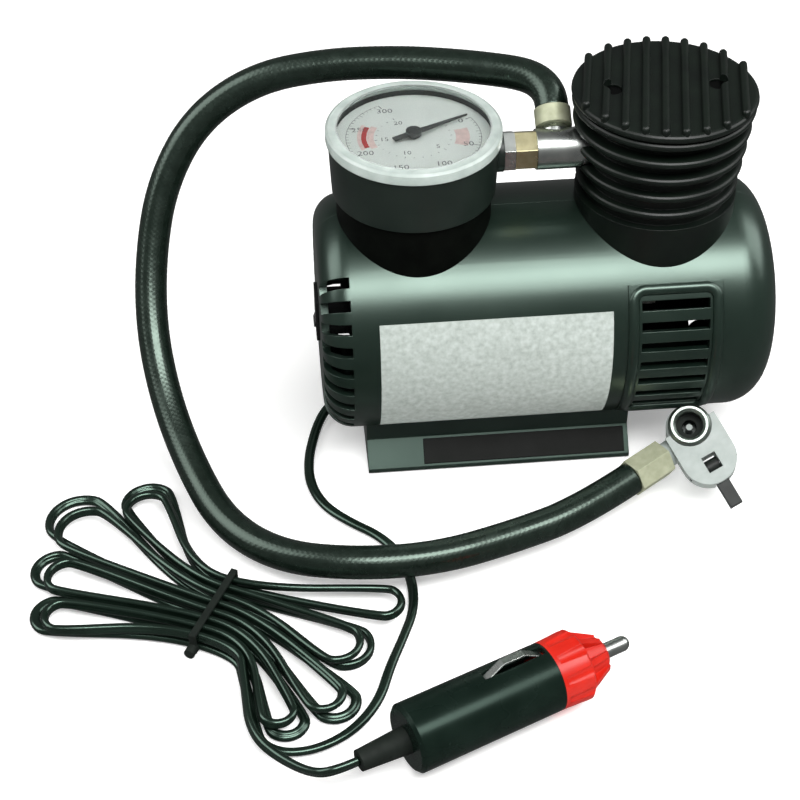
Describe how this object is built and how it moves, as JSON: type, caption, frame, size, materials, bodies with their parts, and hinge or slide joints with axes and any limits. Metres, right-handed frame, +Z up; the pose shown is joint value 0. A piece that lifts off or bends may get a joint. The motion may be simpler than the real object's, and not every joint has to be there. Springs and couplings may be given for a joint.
{
  "type": "portable tyre inflator",
  "caption": "Small 12 V air compressor with a round housing, dial gauge, finned pump cover, hose with lever chuck and a power cord with a lighter plug.",
  "frame": {"origin": "on the ground under the middle of the housing", "axes": "+X along the housing from the switch end to the pump end, +Z up, -Y towards the label"},
  "size_m": [0.2279, 0.1987, 0.1214],
  "materials": {
    "housing_green_black": "satin moulded plastic",
    "black_plastic": "fine grained moulded plastic",
    "gloss_black_plastic": "smooth moulded plastic",
    "label_grey": "bare brushed-look label film",
    "strip_olive": "printed film with plain bars",
    "pad_rubber": "soft rubber",
    "zinc_screw": "zinc plated",
    "steel": "plated sheet steel",
    "ferrite": "sintered ferrite",
    "copper": "enamelled copper",
    "bronze": "sintered bronze",
    "carbon": "pressed carbon",
    "white_nylon": "moulded nylon",
    "cast_aluminium": "die cast",
    "seal_rubber": "moulded seal",
    "brass": "turned brass",
    "nickel": "nickel plated brass",
    "ferrule_brass": "dull crimped brass",
    "clear_plastic": "clear moulded plastic",
    "dial_white": "printed card with plain marks",
    "needle_black": "thin painted sheet",
    "hose_rubber": "braid-textured rubber",
    "cord_vinyl": "smooth vinyl",
    "tie_wire": "plastic covered wire",
    "plug_black": "moulded plastic",
    "plug_red": "moulded plastic",
    "spring_steel": "bright spring strip",
    "fuse_glass": "glass tube with metal caps",
    "lever_dark": "dark plated steel"
  },
  "bodies": {
    "chassis": {"housing_front": "housing_green_black", "housing_rear": "housing_green_black", "steel_screws": "zinc_screw", "rating_label": "label_grey", "base_foot": "black_plastic", "foot_pads": "pad_rubber", "apron_strip": "strip_olive", "switch_frame": "gloss_black_plastic", "motor_can": "steel", "motor_end_bell": "black_plastic", "motor_magnets": "ferrite", "bronze_bushings": "bronze", "motor_brushes": "carbon", "pump_bracket": "cast_aluminium", "pump_cylinder": "cast_aluminium", "valve_plate": "cast_aluminium", "reed_valve": "spring_steel", "cylinder_head": "cast_aluminium", "outlet_valve": "steel", "pump_cover": "black_plastic", "gauge_mount": "black_plastic", "gauge_case": "gloss_black_plastic", "gauge_stem": "nickel", "bourdon_tube": "brass", "gauge_movement": "brass", "gauge_dial": "dial_white", "gauge_lens": "clear_plastic", "gauge_nut": "brass", "tee_fitting": "nickel", "hose_ferrules": "ferrule_brass", "air_hose": "hose_rubber", "chuck_body": "nickel", "chuck_ring": "nickel", "chuck_seal": "seal_rubber", "lever_pin": "steel", "cord_gland": "pad_rubber", "power_cord_hank": "cord_vinyl", "power_cord_lead": "cord_vinyl", "power_cord_tail": "cord_vinyl", "cord_tie": "tie_wire", "plug_body": "plug_black", "side_contacts": "spring_steel", "plug_nose": "plug_red", "plug_fuse": "fuse_glass", "strain_relief": "plug_black"},
    "rotor": {"motor_shaft": "steel", "armature_core": "steel", "armature_windings": "copper", "commutator": "copper", "motor_fan": "white_nylon", "motor_pinion": "steel"},
    "crank": {"crank_shaft": "steel", "drive_gear": "white_nylon"},
    "piston": {"connecting_rod": "cast_aluminium", "crank_pin": "steel", "piston_seal": "seal_rubber"},
    "needle": {"gauge_needle": "needle_black"},
    "rocker": {"switch_rocker": "gloss_black_plastic"},
    "lever": {"chuck_lever": "lever_dark"},
    "plug_tip": {"plug_tip": "nickel"}
  },
  "joints": [
    {"name": "motor_spin", "type": "hinge", "parent": "chassis", "child": "rotor", "pos_m": [0, 0, 0.0355], "axis": [1, 0, 0], "continuous": true},
    {"name": "crank_spin", "type": "hinge", "parent": "chassis", "child": "crank", "pos_m": [0, 0, 0.0535], "axis": [1, 0, 0], "continuous": true},
    {"name": "piston_stroke", "type": "slide", "parent": "chassis", "child": "piston", "axis": [0, 0, 1], "range_m": [0, 0.011]},
    {"name": "gauge_sweep", "type": "hinge", "parent": "chassis", "child": "needle", "pos_m": [-0.0389, 0, 0.107], "axis": [0, 0, -1], "range_deg": [0, 270], "stiffness_Nm_per_rad": 0.0001},
    {"name": "switch_rock", "type": "hinge", "parent": "chassis", "child": "rocker", "pos_m": [-0.0662, 0, 0.0452], "axis": [0, -1, 0], "range_deg": [0, 20]},
    {"name": "lever_swing", "type": "hinge", "parent": "chassis", "child": "lever", "pos_m": [0.04844, -0.04856, 0.01422], "axis": [0.8931, 0.2236, 0.3903], "range_deg": [0, 80]},
    {"name": "tip_press", "type": "slide", "parent": "chassis", "child": "plug_tip", "axis": [-0.9171, -0.3987, 0], "range_m": [0, 0.002], "stiffness_N_per_m": 800}
  ],
  "couplings": [
    {"joint": "crank_spin", "follows": "motor_spin", "ratio": -0.25}
  ]
}
